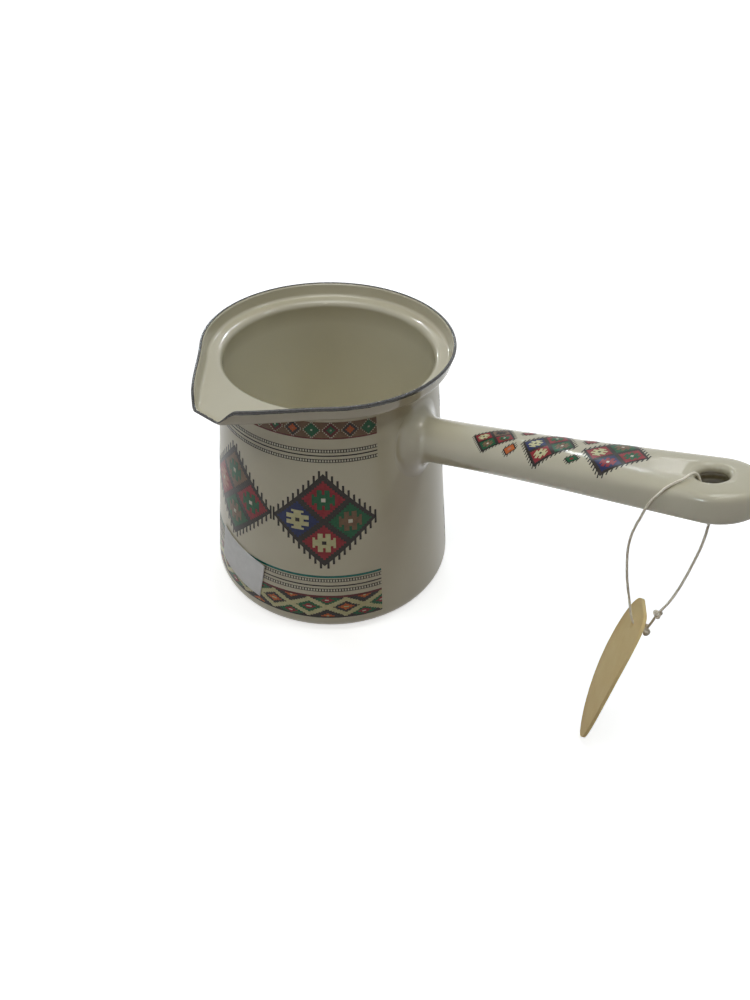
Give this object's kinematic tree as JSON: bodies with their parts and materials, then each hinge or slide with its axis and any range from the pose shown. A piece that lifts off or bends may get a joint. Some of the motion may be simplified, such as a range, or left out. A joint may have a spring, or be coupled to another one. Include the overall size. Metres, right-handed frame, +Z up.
{
  "type": "turkish coffee pot",
  "caption": "Enamelled tapered coffee pot with a flared collar, side pouring lip and long hollow side handle, with a card tag tied through the handle's hanging hole.",
  "frame": {"origin": "middle of the flat base, on the surface that the pot stands on", "axes": "+Z up along the pot's axis, +X along the handle, the pouring lip to -Y"},
  "size_m": [0.1956, 0.105, 0.1065],
  "materials": {
    "enamel": "glossy cream vitreous enamel on sheet steel",
    "dark_edging": "glossy dark blue-grey vitreous enamel",
    "label_paper": "matt white paper",
    "string": "twisted beige thread",
    "tag_card": "matt brown card"
  },
  "bodies": {
    "pot": {"pot_body": "enamel", "rim_edging": "dark_edging", "handle_upper_shell": "enamel", "handle_lower_shell": "enamel", "paper_label": "label_paper", "cord_over_handle": "string"},
    "string_loop": {"cord_left_strand": "string", "cord_right_strand": "string", "cord_tie": "string", "knot_upper": "string", "knot_lower": "string"},
    "tag": {"hang_tag": "tag_card"}
  },
  "joints": [
    {"name": "string_swing", "type": "hinge", "parent": "pot", "child": "string_loop", "pos_m": [0.1205, -0.0121, 0.089], "axis": [-0.9218, -0.3876, 0], "range_deg": [-60, 75]},
    {"name": "tag_turn", "type": "hinge", "parent": "string_loop", "child": "tag", "pos_m": [0.1293, -0.0118, 0.0511], "axis": [-0.9136, -0.3866, 0.1262], "range_deg": [-80, 80]}
  ]
}
